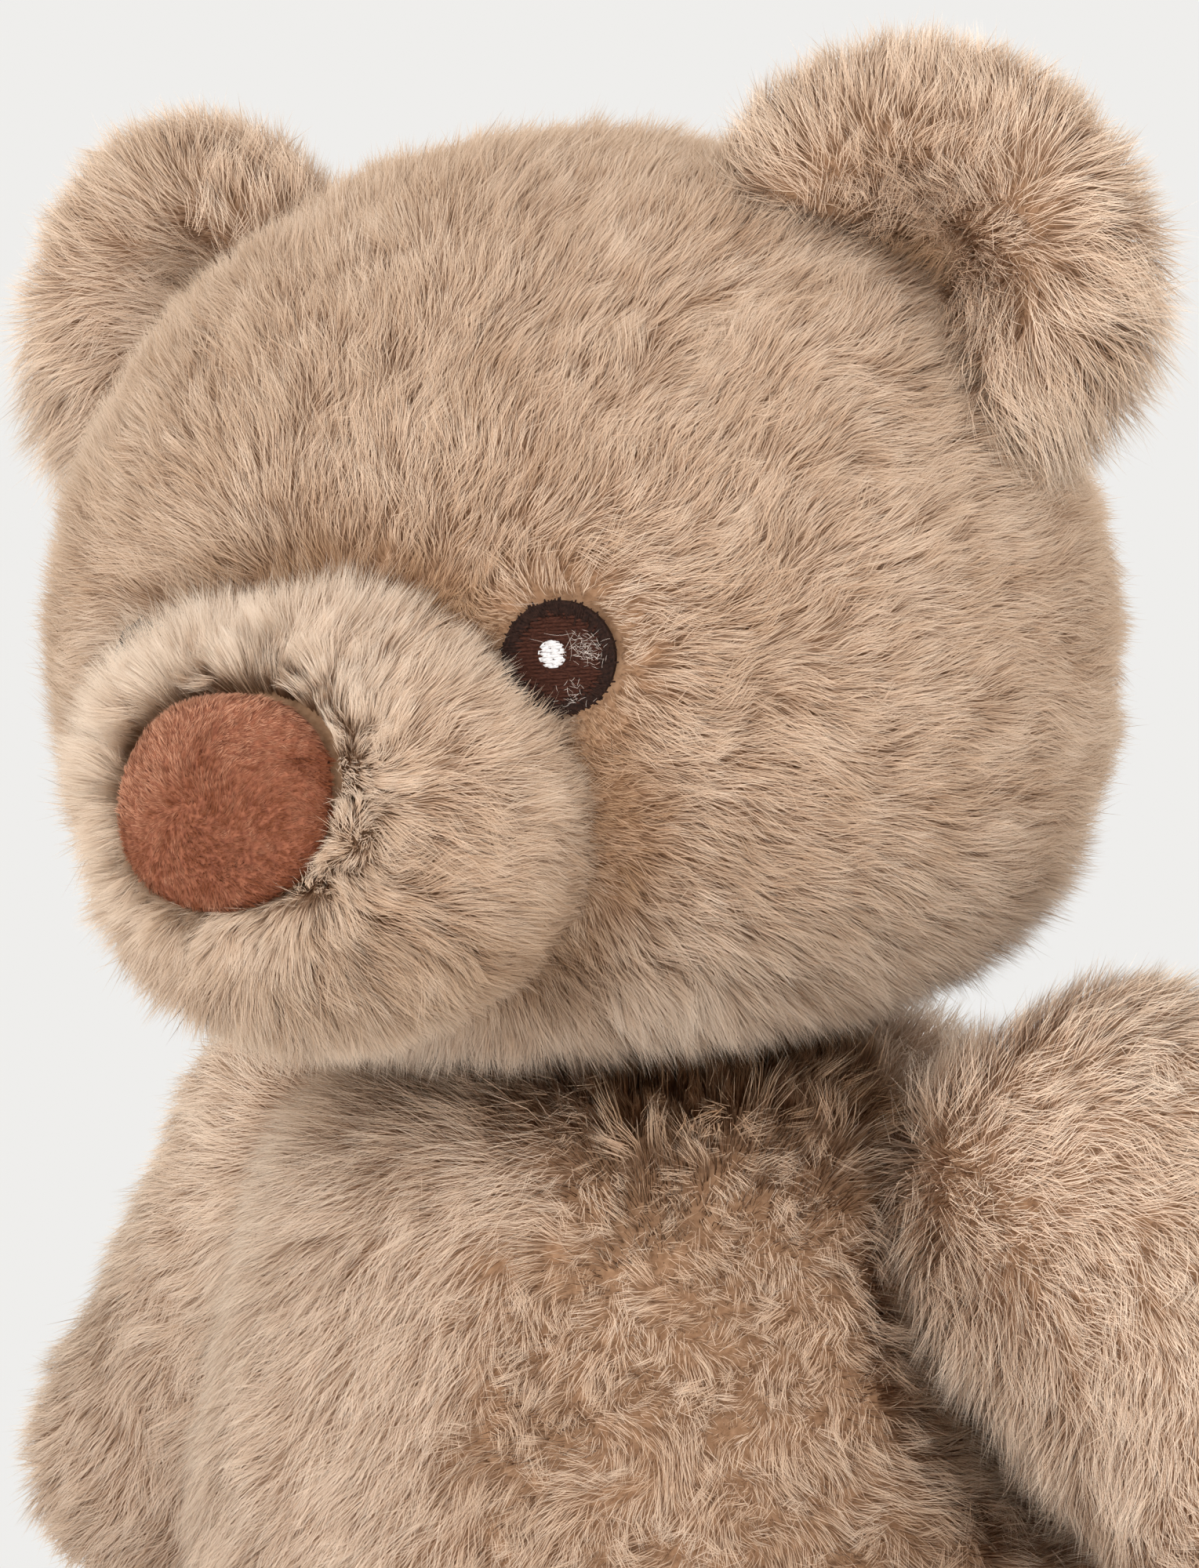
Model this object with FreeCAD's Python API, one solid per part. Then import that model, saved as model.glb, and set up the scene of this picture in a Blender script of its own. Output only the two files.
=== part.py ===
import FreeCAD, Part
import math
import os

# Jointed teddy bear, sitting. Millimetres. +Z up, the bear faces -Y, its left side is +X.
# The origin is the centre of the flat seat under the torso.
# The cover solids reach to about the middle of the pile; their inner faces are the backing cloth.

V = FreeCAD.Vector

# ---------------------------------------------------------------- driving dimensions
COVER = 4.5  # plush cover: backing cloth and half of the pile
RING_POINTS = 24  # points on each lofted cross-section

TORSO_DEPTH = 0.94  # depth of the torso as a share of its width
TORSO_POWER = 2.2  # squareness of the torso's cross-sections, 2 is an ellipse
TORSO_OUTLINE = [  # (height, half width, place of the section's centre along Y)
    (0, 30, 0),
    (4, 37, 0),
    (11, 42.5, -0.5),
    (21, 47.5, -1),
    (32, 53, -1.5),
    (45, 59.5, -2.5),
    (58, 64.5, -3),
    (73, 67, -3.5),
    (86, 66, -3.5),
    (100, 62.5, -3.5),
    (112, 58.5, -3.5),
    (123, 54, -3.5),
    (132, 47.5, -3.5),
    (138, 39, -3.5),
    (140, 31, -3.5),
]
TORSO_TOP = TORSO_OUTLINE[-1][0]
NECK = V(0, TORSO_OUTLINE[-1][2], TORSO_TOP)  # the neck joint, on the torso's flat top

HEAD_FORWARD = 10  # the head's centre lies this far in front of the neck axis
HEAD_CENTRE = V(0, NECK.y - HEAD_FORWARD, 202)
CHEEK_DROP = 8  # the head is widest this far below its centre
HEAD_HALF_WIDTH = 74
HEAD_HALF_DEPTH = 62
CROWN_HEIGHT = 68  # from the widest level up to the crown
JAW_DEPTH = 52  # from the widest level down to the neck
JAW_POWER = 2.6  # the jaw is squarer than an ellipse
HEAD_TURN = 14  # at rest the head looks to the bear's left

MUZZLE_CENTRE = V(0, -59, -25.8)  # from the head's centre
MUZZLE_HALF = V(33, 30, 28.5)
NOSE_CENTRE_UP = 4.9  # the nose sits above the middle of the muzzle
NOSE_HALF_WIDTH = 15
NOSE_HALF_HEIGHT = 12.8
NOSE_RISE = 2.2
NOSE_POWER = 2.2

EYE_SIDE = 31.2
EYE_DROP = 6.9
EYE_RADIUS = 7
EYE_OUTLINE = 0.9  # width of the stitched outline
EYE_POCKET = 2.2
GLINT_RADIUS = 1.75

EAR_CENTRE = V(55.5, -1, 38)  # from the head's centre
EAR_HALF = V(30, 10.5, 28)
EAR_DISH_CENTRE = V(-2, -10, -2)  # from the ear's centre
EAR_DISH_HALF = V(21, 9.5, 20)
EAR_SPLAY = 12  # each ear turns outwards by this angle
EAR_SEAM_BACK = 2  # the panels meet this far behind the ear's middle

STUD_RADIUS = 3.5
STUD_CLEARANCE = 0.05  # running fit of a stud in its washer
CLOTH_HOLE_CLEARANCE = 0.3
LAND_GAP = 0.3  # between the two cloth faces of a disc joint
LAND_WALL = 3  # the pile is pressed flat between the discs
DISC_THICKNESS = 2.2
WASHER_THICKNESS = 2
LOCK_THICKNESS = 3.5
LOCK_RADIUS = 8
LOCK_GAP = 0.2
STUD_TAIL = 0.8  # the stud ends this far beyond its lock ring
POCKET_CLEARANCE = 0.9

NECK_DISC_RADIUS = 17
SHOULDER_DISC_RADIUS = 12.5
HIP_DISC_RADIUS = 15
BOSS_RIM = 2.1  # the limb's flat boss is wider than its disc

SHOULDER = V(47, 9, 115.5)  # centre of the land on the torso's left side
ARM_AXIS_X = 74  # the arm's own centre line starts here
ARM_LEAN = 40  # the arm leans outwards from the vertical
ARM_LENGTH = 60  # from the joint to the last full section
ARM_CURVE = 8  # the paw comes forward by this much
ARM_SECTIONS = [  # (place along the arm, radius)
    (-26, 10),
    (-24.5, 16.5),
    (-21, 21),
    (-13, 25),
    (0, 27),
    (22, 26.5),
    (40, 25),
    (56, 23.5),
    (66, 20),
    (73, 13.5),
    (76.5, 5),
]
ARM_DISH = [(16.5, 48), (24, 50.5), (32, 54), (40, 59), (48, 66), (54, 70), (125, 70)]

HIP = V(44, 0, 31)
LEG_AXIS_X = 63
LEG_SPLAY = 13  # the legs point outwards from straight ahead
LEG_SECTIONS = [  # (distance in front of the hip, height of the middle, half width, half height)
    (-24.5, 31, 5, 7),
    (-21, 31, 11.5, 14),
    (-12, 30.5, 17.5, 21.5),
    (0, 29.5, 20, 25),
    (26, 28, 20, 24),
    (52, 26, 19.5, 22.5),
    (78, 25, 19.5, 22.5),
    (96, 27.5, 20, 26),
    (110, 31, 20, 30),
    (119, 33, 17.5, 28),
    (123, 34, 14, 24),
]
LEG_DISH = [(18.8, 45), (26, 51), (36, 62), (46, 69.5), (58, 66), (72, 52), (92, 30), (140, 24)]
DISH_GAP = 0.8  # between a limb and the dish it turns in, beyond the flat land
SOLE_HALF = (13, 22.5)
SOLE_THICKNESS = 1.6

LONG = 400  # longer than the object


# ---------------------------------------------------------------- shapes
def ring(centre, half_a, half_b, axis_a, axis_b, power=2.0):
    """A closed smooth cross-section: an ellipse, or a squarer superellipse."""
    points = []
    for i in range(RING_POINTS):
        angle = 2 * math.pi * i / RING_POINTS
        c, s = math.cos(angle), math.sin(angle)
        a = half_a * math.copysign(abs(c) ** (2 / power), c)
        b = half_b * math.copysign(abs(s) ** (2 / power), s)
        points.append(centre + axis_a * a + axis_b * b)
    curve = Part.BSplineCurve()
    curve.interpolate(points, True)
    return Part.Wire([curve.toShape()])


def loft(rings):
    return Part.makeLoft(rings, True)


def ellipsoid(centre, half):
    ball = Part.makeSphere(1)
    stretch = FreeCAD.Matrix()
    stretch.scale(half)
    ball = ball.transformGeometry(stretch)
    ball.translate(centre)
    return ball


def cylinder_x(radius, start, end, centre=V(0, 0, 0)):
    """A cylinder along X from x = start to x = end, about the line through centre."""
    return Part.makeCylinder(radius, end - start, V(start, centre.y, centre.z), V(1, 0, 0))


def mirrored(shape):
    return shape.mirror(V(0, 0, 0), V(1, 0, 0))


def turned(shape, centre, axis, angle):
    moved = shape.copy()
    moved.rotate(centre, axis, angle)
    return moved


# ---------------------------------------------------------------- disc joints
def joint_along_x(land, centre, disc_radius):
    """Stud disc, washer and lock ring of one disc joint along +X, and the spaces they need.

    The torso's cloth ends at x = land; the limb is on the +X side.
    """
    limb_face = land + LAND_GAP
    disc_face = limb_face + LAND_WALL
    washer_top = land - LAND_WALL
    lock_top = washer_top - WASHER_THICKNESS - LOCK_GAP
    stud_end = lock_top - LOCK_THICKNESS - STUD_TAIL
    disc = cylinder_x(disc_radius, disc_face, disc_face + DISC_THICKNESS, centre)
    stud = cylinder_x(STUD_RADIUS, stud_end, disc_face, centre)
    washer = cylinder_x(disc_radius, washer_top - WASHER_THICKNESS, washer_top, centre)
    washer_hole = cylinder_x(STUD_RADIUS + STUD_CLEARANCE, stud_end, land, centre)
    lock = cylinder_x(LOCK_RADIUS, lock_top - LOCK_THICKNESS, lock_top, centre)
    lock_space = cylinder_x(
        LOCK_RADIUS + CLOTH_HOLE_CLEARANCE,
        stud_end - CLOTH_HOLE_CLEARANCE,
        washer_top - WASHER_THICKNESS,
        centre,
    )
    return {
        "stud_disc": disc.fuse(stud).removeSplitter(),
        "washer": washer.cut(washer_hole),
        "lock_ring": lock.cut(stud),
        "washer_space": washer.fuse(lock_space),
        "disc_space": disc,
        "torso_hole": cylinder_x(STUD_RADIUS + CLOTH_HOLE_CLEARANCE, stud_end, land + 1, centre),
        "inner_land": cylinder_x(disc_radius + LAND_WALL, washer_top, land + 1, centre),
        "limb_hole": cylinder_x(STUD_RADIUS, limb_face - 1, disc_face + 1, centre),
        "boss": cylinder_x(disc_radius + BOSS_RIM, limb_face, limb_face + 12, centre),
        "boss_inside": cylinder_x(disc_radius + 0.2, disc_face, disc_face + 12, centre),
    }


def to_neck(parts):
    """The same joint stood up along +Z on the top of the torso."""
    upright = {}
    for name, shape in parts.items():
        upright[name] = turned(shape, V(0, 0, 0), V(0, 1, 0), -90)
        upright[name].translate(V(0, NECK.y, 0))
    return upright


def to_right(parts):
    return {name: mirrored(s) for name, s in parts.items()}


# ---------------------------------------------------------------- torso
def torso_solid(inset):
    rings = []
    for height, half, back in TORSO_OUTLINE:
        level = inset + height * (TORSO_TOP - 2 * inset) / TORSO_TOP
        rings.append(
            ring(
                V(0, back, level),
                half - inset,
                half * TORSO_DEPTH - inset,
                V(1, 0, 0),
                V(0, 1, 0),
                TORSO_POWER,
            )
        )
    return loft(rings)


def dish(profile, centre, inset):
    """The space beside the torso that a left limb turns in: a flat land with a flared rim."""
    floor = centre.x - min(inset, LAND_WALL)
    first = profile[0][0] + inset
    points = [V(floor, 0, 0), V(floor, first, 0)]
    for radius, side in profile:
        points.append(V(side - DISH_GAP - inset, radius + inset, 0))
        if side == max(place for _, place in profile):
            break
    points += [V(LONG, points[-1].y, 0), V(LONG, 0, 0), V(floor, 0, 0)]
    body = Part.Face(Part.makePolygon(points)).revolve(V(0, 0, 0), V(1, 0, 0), 360)
    body.translate(V(0, centre.y, centre.z))
    return body


def make_torso(joints):
    outer = torso_solid(0)
    cavity = torso_solid(COVER)
    for profile, centre in ((ARM_DISH, SHOULDER), (LEG_DISH, HIP)):
        for shape in (dish(profile, centre, 0), mirrored(dish(profile, centre, 0))):
            outer = outer.cut(shape)
        for shape in (dish(profile, centre, COVER), mirrored(dish(profile, centre, COVER))):
            cavity = cavity.cut(shape)
    cavity = cavity.cut(joints["neck"]["inner_land"])
    cover = outer.cut(cavity)
    stuffing = cavity
    for joint in joints.values():
        cover = cover.cut(joint["torso_hole"]).cut(joint["washer_space"])
        stuffing = stuffing.cut(joint["washer_space"])
    return {"torso_cover": cover, "torso_stuffing": stuffing}


# ---------------------------------------------------------------- head
def head_solid(inset):
    """Crown as half an ellipsoid over a squarer jaw, both flat at their ends."""
    widest = HEAD_CENTRE - V(0, 0, CHEEK_DROP)
    rings = []
    for degrees in (-73, -62, -48, -33, -17, 0, 18, 36, 52, 66, 77, 84.5):
        angle = math.radians(degrees)
        power = JAW_POWER if degrees < 0 else 2.0
        reach = (JAW_DEPTH if degrees < 0 else CROWN_HEIGHT) - inset
        wide = math.cos(angle) ** (2 / power)
        level = math.copysign(abs(math.sin(angle)) ** (2 / power), degrees) * reach
        rings.append(
            ring(
                widest + V(0, 0, level),
                (HEAD_HALF_WIDTH - inset) * wide,
                (HEAD_HALF_DEPTH - inset) * wide,
                V(1, 0, 0),
                V(0, 1, 0),
            )
        )
    return loft(rings)


def eye_parts(side):
    """Stitched iris, outline ring and glint of one eye, and the pocket they lie in."""
    level = CHEEK_DROP - EYE_DROP
    share = EYE_SIDE / HEAD_HALF_WIDTH
    front = -HEAD_HALF_DEPTH * math.sqrt(1 - share**2)
    middle = HEAD_CENTRE + V(side * EYE_SIDE, front, level - CHEEK_DROP)
    outward = V(side * EYE_SIDE / HEAD_HALF_WIDTH**2, front / HEAD_HALF_DEPTH**2, 0)
    outward.normalize()
    floor = middle - outward * EYE_POCKET
    pocket = Part.makeCylinder(EYE_RADIUS + 0.2, EYE_POCKET + 6, floor, outward)
    whole = Part.makeCylinder(EYE_RADIUS, 1.9, floor, outward)
    inside = Part.makeCylinder(EYE_RADIUS - EYE_OUTLINE, 1.9, floor, outward)
    iris = Part.makeCylinder(EYE_RADIUS - EYE_OUTLINE, 1.6, floor, outward)
    glint_at = floor + outward * 1.6 + V(-0.8, 0, 0.5)
    glint = Part.makeCylinder(GLINT_RADIUS, 0.5, glint_at, outward).cut(iris)
    return {
        "pocket": pocket,
        "iris": iris,
        "outline": whole.cut(inside),
        "glint": glint,
    }


def ear_panels():
    """Front and back cloth panels of the left ear."""
    centre = HEAD_CENTRE + EAR_CENTRE
    pad = ellipsoid(centre, EAR_HALF)
    dish = ellipsoid(centre + EAR_DISH_CENTRE, EAR_DISH_HALF)
    whole = pad.cut(dish)
    front_space = Part.makeBox(
        LONG, LONG, LONG, V(-LONG / 2, centre.y + EAR_SEAM_BACK - LONG, 0)
    )
    front = whole.common(front_space)
    back = whole.cut(front_space)
    return [turned(s, centre, V(0, 0, 1), EAR_SPLAY) for s in (front, back)]


def make_head(neck):
    outer = head_solid(0)
    boss = neck["boss"]
    cavity = head_solid(COVER).cut(neck["boss"]).fuse(neck["boss_inside"])
    outer = outer.fuse(boss)
    parts = {}
    cover = outer.cut(cavity).cut(neck["limb_hole"])
    for side, word in ((1, "left"), (-1, "right")):
        eye = eye_parts(side)
        cover = cover.cut(eye["pocket"])
        for piece in ("iris", "outline", "glint"):
            parts[f"eye_{word}_{piece}"] = eye[piece]
        panels = ear_panels()
        if side < 0:
            panels = [mirrored(p) for p in panels]
        for face, panel in zip(("front", "back"), panels):
            parts[f"ear_{word}_{face}"] = panel.cut(outer)
    muzzle_at = HEAD_CENTRE + MUZZLE_CENTRE
    wall = V(COVER, COVER, COVER)
    muzzle_outer = ellipsoid(muzzle_at, MUZZLE_HALF)
    muzzle_inner = ellipsoid(muzzle_at, MUZZLE_HALF - wall)
    rise = V(NOSE_RISE, NOSE_RISE, NOSE_RISE)
    nose_form = ellipsoid(muzzle_at, MUZZLE_HALF + rise)
    nose_outline = ring(
        muzzle_at + V(0, 0, NOSE_CENTRE_UP),
        NOSE_HALF_WIDTH,
        NOSE_HALF_HEIGHT,
        V(1, 0, 0),
        V(0, 0, 1),
        NOSE_POWER,
    )
    nose_prism = Part.Face(nose_outline).extrude(V(0, -60, 0))
    parts["nose_patch"] = nose_form.common(nose_prism).cut(muzzle_outer)
    parts["muzzle_cover"] = muzzle_outer.cut(muzzle_inner).cut(outer)
    parts["muzzle_stuffing"] = muzzle_inner.cut(outer)
    parts["head_cover"] = cover
    parts["head_stuffing"] = cavity.cut(neck["disc_space"]).cut(neck["limb_hole"])
    parts["neck_stud_disc"] = neck["stud_disc"]
    parts["neck_lock_ring"] = neck["lock_ring"]
    return {n: turned(s, NECK, V(0, 0, 1), HEAD_TURN) for n, s in parts.items()}


# ---------------------------------------------------------------- limbs
def envelope(profile, centre, inset):
    """Everything beside the torso that a limb must keep out of as it turns about its joint."""
    first, last = profile[0][0] - inset, profile[-1][0]
    points = [V(-LONG, first, 0)]
    points += [V(side + inset, max(radius - inset, first), 0) for radius, side in profile]
    points += [V(-LONG, last, 0), V(-LONG, first, 0)]
    face = Part.Face(Part.makePolygon(points))
    body = face.revolve(V(0, 0, 0), V(1, 0, 0), 360)
    body.translate(V(0, centre.y, centre.z))
    return body


def arm_loft(inset):
    lean = math.radians(ARM_LEAN)
    down = V(math.sin(lean), 0, -math.cos(lean))
    across = V(math.cos(lean), 0, math.sin(lean))
    first, last = ARM_SECTIONS[0][0], ARM_SECTIONS[-1][0]
    shrink = (last - first - 2 * inset) / (last - first)
    rings = []
    for place, radius in ARM_SECTIONS:
        along = first + inset + (place - first) * shrink
        forward = ARM_CURVE * max(along, 0) ** 2 / ARM_LENGTH**2
        middle = V(ARM_AXIS_X, SHOULDER.y - forward, SHOULDER.z) + down * along
        size = max(radius - inset, 2.0)
        rings.append(ring(middle, size, size, across, V(0, 1, 0)))
    return loft(rings)


def leg_direction():
    splay = math.radians(LEG_SPLAY)
    return V(math.sin(splay), -math.cos(splay), 0), V(math.cos(splay), math.sin(splay), 0)


def leg_loft(inset):
    ahead, across = leg_direction()
    first, last = LEG_SECTIONS[0][0], LEG_SECTIONS[-1][0]
    shrink = (last - first - 2 * inset) / (last - first)
    rings = []
    for place, height, half_width, half_height in LEG_SECTIONS:
        along = first + inset + (place - first) * shrink
        rings.append(
            ring(
                V(LEG_AXIS_X, HIP.y, height) + ahead * along,
                max(half_width - inset, 2.0),
                max(half_height - inset, 2.0),
                across,
                V(0, 0, 1),
            )
        )
    return loft(rings)


def make_limb(limb_loft, profile, joint, centre):
    """Cover and stuffing of a left limb, flat against the torso round its disc joint."""
    outer = limb_loft(0).cut(envelope(profile, centre, 0))
    beyond = cylinder_x(profile[0][0] + 5, -LONG, centre.x + LAND_GAP, centre)
    outer = outer.cut(beyond).fuse(joint["boss"])
    inner = limb_loft(COVER).cut(envelope(profile, centre, COVER))
    inner_beyond = cylinder_x(
        profile[0][0] + 5, -LONG, centre.x + LAND_GAP + LAND_WALL, centre
    )
    inner = inner.cut(inner_beyond).fuse(joint["boss_inside"])
    cover = outer.cut(inner).cut(joint["limb_hole"])
    return cover, inner.cut(joint["disc_space"])


def foot_sole():
    ahead, across = leg_direction()
    place, height = LEG_SECTIONS[-1][:2]
    middle = V(LEG_AXIS_X, HIP.y, height) + ahead * place
    outline = ring(middle, *SOLE_HALF, across, V(0, 0, 1))
    return Part.Face(outline).extrude(ahead * SOLE_THICKNESS)


def make_left_arm(joint):
    cover, stuffing = make_limb(arm_loft, ARM_DISH, joint, SHOULDER)
    return {
        "arm_left_cover": cover,
        "arm_left_stuffing": stuffing,
        "shoulder_left_stud_disc": joint["stud_disc"],
        "shoulder_left_lock_ring": joint["lock_ring"],
    }


def make_left_leg(joint):
    cover, stuffing = make_limb(leg_loft, LEG_DISH, joint, HIP)
    return {
        "leg_left_cover": cover,
        "leg_left_stuffing": stuffing,
        "leg_left_sole": foot_sole(),
        "hip_left_stud_disc": joint["stud_disc"],
        "hip_left_lock_ring": joint["lock_ring"],
    }


def right_side(parts):
    return {n.replace("left", "right"): mirrored(s) for n, s in parts.items()}


# ---------------------------------------------------------------- the bear
def make_bear():
    neck = to_neck(joint_along_x(TORSO_TOP, V(0, 0, 0), NECK_DISC_RADIUS))
    shoulder = joint_along_x(SHOULDER.x, SHOULDER, SHOULDER_DISC_RADIUS)
    hip = joint_along_x(HIP.x, HIP, HIP_DISC_RADIUS)
    joints = {
        "neck": neck,
        "shoulder_left": shoulder,
        "shoulder_right": to_right(shoulder),
        "hip_left": hip,
        "hip_right": to_right(hip),
    }
    parts = make_torso(joints)
    for name, joint in joints.items():
        parts[f"{name}_washer"] = joint["washer"]
    arm = make_left_arm(shoulder)
    leg = make_left_leg(hip)
    for limb in (arm, leg):
        parts.update(limb)
        parts.update(right_side(limb))
    parts.update(make_head(neck))
    return parts


os.makedirs("parts", exist_ok=True)
for name, shape in sorted(make_bear().items()):
    box = shape.BoundBox
    print(
        f"{name:26s} {shape.ShapeType:9s} solids {len(shape.Solids)} valid {shape.isValid()} "
        f"volume {shape.Volume / 1000:9.2f} cm3  "
        f"x {box.XMin:7.1f}..{box.XMax:6.1f} y {box.YMin:7.1f}..{box.YMax:6.1f} "
        f"z {box.ZMin:6.1f}..{box.ZMax:6.1f}"
    )
    shape.exportStep(f"parts/{name}.step")
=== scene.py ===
import math

import bpy
import numpy as np
from mathutils import Matrix, Vector
from mathutils.kdtree import KDTree


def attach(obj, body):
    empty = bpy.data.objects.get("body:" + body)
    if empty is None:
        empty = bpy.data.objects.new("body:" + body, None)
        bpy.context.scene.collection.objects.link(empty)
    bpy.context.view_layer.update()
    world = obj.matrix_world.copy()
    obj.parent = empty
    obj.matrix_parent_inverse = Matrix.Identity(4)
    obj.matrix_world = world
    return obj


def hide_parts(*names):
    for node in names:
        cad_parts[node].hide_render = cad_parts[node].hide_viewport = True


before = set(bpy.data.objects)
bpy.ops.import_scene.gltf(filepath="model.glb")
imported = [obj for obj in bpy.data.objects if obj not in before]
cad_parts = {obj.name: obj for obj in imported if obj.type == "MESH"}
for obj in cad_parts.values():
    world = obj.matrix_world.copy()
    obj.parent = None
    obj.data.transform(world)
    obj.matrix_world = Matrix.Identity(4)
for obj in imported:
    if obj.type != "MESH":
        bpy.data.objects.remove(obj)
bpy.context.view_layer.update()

MM = 0.001

# --- sizes, in millimetres
# The bear faces -Y and its left side is +X, as in the CAD.
SKIN_INSET = 3.8  # the backing cloth lies this far inside the CAD covers
TORSO_TOP = 140.0
TORSO_DEPTH = 0.94
TORSO_POWER = 2.2
TORSO_OUTLINE = [  # height, half width, centre along Y
    (0, 30, 0), (4, 37, 0), (11, 42.5, -0.5), (21, 47.5, -1), (32, 53, -1.5), (45, 59.5, -2.5),
    (58, 64.5, -3), (73, 67, -3.5), (86, 66, -3.5), (100, 62.5, -3.5), (112, 58.5, -3.5),
    (123, 54, -3.5), (132, 47.5, -3.5), (138, 39, -3.5), (140, 31, -3.5),
]
NECK = np.array([0.0, -3.5, 140.0])
HEAD_TURN = 14.0
HEAD_CENTRE = np.array([0.0, -13.5, 202.0])
CHEEK_DROP = 8.0
HEAD_HALF = (74.0, 62.0)
CROWN, JAW, JAW_POWER = 68.0, 52.0, 2.6
MUZZLE_AT = HEAD_CENTRE + np.array([0.0, -59.0, -25.8])
MUZZLE_HALF = np.array([33.0, 30.0, 28.5])
NOSE_UP, NOSE_HALF, NOSE_POWER = 4.9, (15.0, 12.8), 2.2
EYE_SIDE, EYE_DROP, EYE_RADIUS = 31.2, 6.9, 7.0
EAR_AT = HEAD_CENTRE + np.array([55.5, -1.0, 38.0])
EAR_HALF = (30.0, 10.5, 28.0)
EAR_INSET = (3.5, 2.5, 3.5)
EAR_SPLAY = 12.0
EAR_CUP, EAR_BULGE = 12.0, 5.0
EAR_FOLD = math.radians(138)  # the way the cup's closed side faces
SHOULDER = np.array([47.0, 9.0, 115.5])
ARM_AXIS_X, ARM_LEAN, ARM_LENGTH, ARM_CURVE = 74.0, 40.0, 60.0, 8.0
ARM_SECTIONS = [  # place along the arm, radius
    (-28.5, 14), (-26.5, 20), (-22, 24.5), (-13, 27.3), (0, 28), (22, 26.5), (40, 25), (56, 23.5),
    (66, 20), (73, 13.5), (76.5, 5),
]
ARM_DISH = [  # distance from the joint's axis, place of the wall between arm and torso
    (16.5, 48), (24, 50.5), (32, 54), (40, 59), (48, 66), (54, 70), (125, 70),
]
HIP = np.array([44.0, 0.0, 31.0])
LEG_DISH = [(18.8, 45), (26, 51), (36, 62), (46, 69.5), (58, 66), (72, 52), (92, 30), (140, 24)]
DISH_GAP, BARE_RADIUS, BARE_DEPTH = 1.0, 19.0, 3.5
LEG_AXIS_X, LEG_SPLAY = 63.0, 13.0
LEG_SECTIONS = [  # distance in front of the hip, height, half width, half height
    (-24.5, 31, 5, 7), (-21, 31, 11.5, 14), (-12, 30.5, 17.5, 21.5), (0, 29.5, 20, 25),
    (26, 28, 20, 24), (52, 26, 19.5, 22.5), (78, 25, 19.5, 22.5), (96, 27.5, 20, 26),
    (110, 31, 20, 30), (119, 33, 17.5, 28), (123, 34, 14, 24),
]
UP = np.array([0.0, 0.0, 1.0])
TORSO_PILE, HEAD_PILE, MUZZLE_PILE, EAR_PILE, ARM_PILE, LEG_PILE = 9.0, 8.2, 7.0, 9.0, 8.6, 8.5
TORSO_LIFT, HEAD_LIFT, EAR_LIFT, ARM_LIFT, LEG_LIFT = 33, 37, 40, 33, 35  # degrees
SOLE_HALF, SOLE_RISE = (13.0, 22.5), 1.4
NOSE_RISE = 2.2


# --- small maths
def unit(v):
    return v / np.maximum(np.linalg.norm(v, axis=-1, keepdims=True), 1e-9)


def along_surface(direction, normal):
    """The part of direction that lies in the surface."""
    return unit(direction - normal * np.sum(direction * normal, -1, keepdims=True))


def turn_about(v, axis, angle):
    """v turned about axis, one angle in radians for each row."""
    c, s = np.cos(angle)[:, None], np.sin(angle)[:, None]
    return v * c + np.cross(axis, v) * s + axis * np.sum(axis * v, -1, keepdims=True) * (1 - c)


def smooth_rows(rows, count):
    """A smooth curve through the rows of a table, as count rows evenly spaced by length."""
    rows = np.array(rows, float)
    ext = np.vstack([2 * rows[0] - rows[1], rows, 2 * rows[-1] - rows[-2]])
    t = np.linspace(0, len(rows) - 1 - 1e-9, 60 * len(rows))
    i, f = t.astype(int), (t % 1)[:, None]
    a, b, c, d = ext[i], ext[i + 1], ext[i + 2], ext[i + 3]
    fine = 0.5 * (2 * b + (c - a) * f + (2 * a - 5 * b + 4 * c - d) * f**2
                  + (3 * b - a - 3 * c + d) * f**3)
    run = np.r_[0, np.cumsum(np.linalg.norm(np.diff(fine[:, :2], axis=0), axis=1))]
    want = np.linspace(0, run[-1], count)
    return np.stack([np.interp(want, run, fine[:, k]) for k in range(rows.shape[1])], 1)


TURN_COS, TURN_SIN = math.cos(math.radians(HEAD_TURN)), math.sin(math.radians(HEAD_TURN))
HEAD_SPIN = np.array([[TURN_COS, -TURN_SIN, 0], [TURN_SIN, TURN_COS, 0], [0, 0, 1]])


def in_place(points, body):
    """Head pieces are worked out facing forward and turned on the neck here."""
    return NECK + (points - NECK) @ HEAD_SPIN.T if body == "head" else points


def heading_in_place(vectors, body):
    return vectors @ HEAD_SPIN.T if body == "head" else vectors


class Field:
    """Smooth random vectors in space, the same on every run."""

    def __init__(self, seed, size, channels=1, cells=24):
        self.size, self.cells = size, cells
        self.lattice = np.random.default_rng(seed).normal(size=(cells,) * 3 + (channels,))

    def at(self, points):
        q = points / self.size + 1000.0
        i = np.floor(q).astype(int)
        f = q - i
        f = f * f * (3 - 2 * f)
        total = 0.0
        for corner in range(8):
            o = np.array([corner >> 2 & 1, corner >> 1 & 1, corner & 1])
            w = np.prod(np.where(o, f, 1 - f), axis=1)
            j = (i + o) % self.cells
            total = total + w[:, None] * self.lattice[j[:, 0], j[:, 1], j[:, 2]]
        return total


def smoothstep(low, high, x):
    t = np.clip((x - low) / (high - low), 0, 1)
    return t * t * (3 - 2 * t)


# --- skins as closed grids
def superellipse(count, power):
    angle = np.arange(count) * 2 * math.pi / count
    c, s = np.cos(angle), np.sin(angle)
    return np.sign(c) * np.abs(c) ** (2 / power), np.sign(s) * np.abs(s) ** (2 / power)


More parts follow.
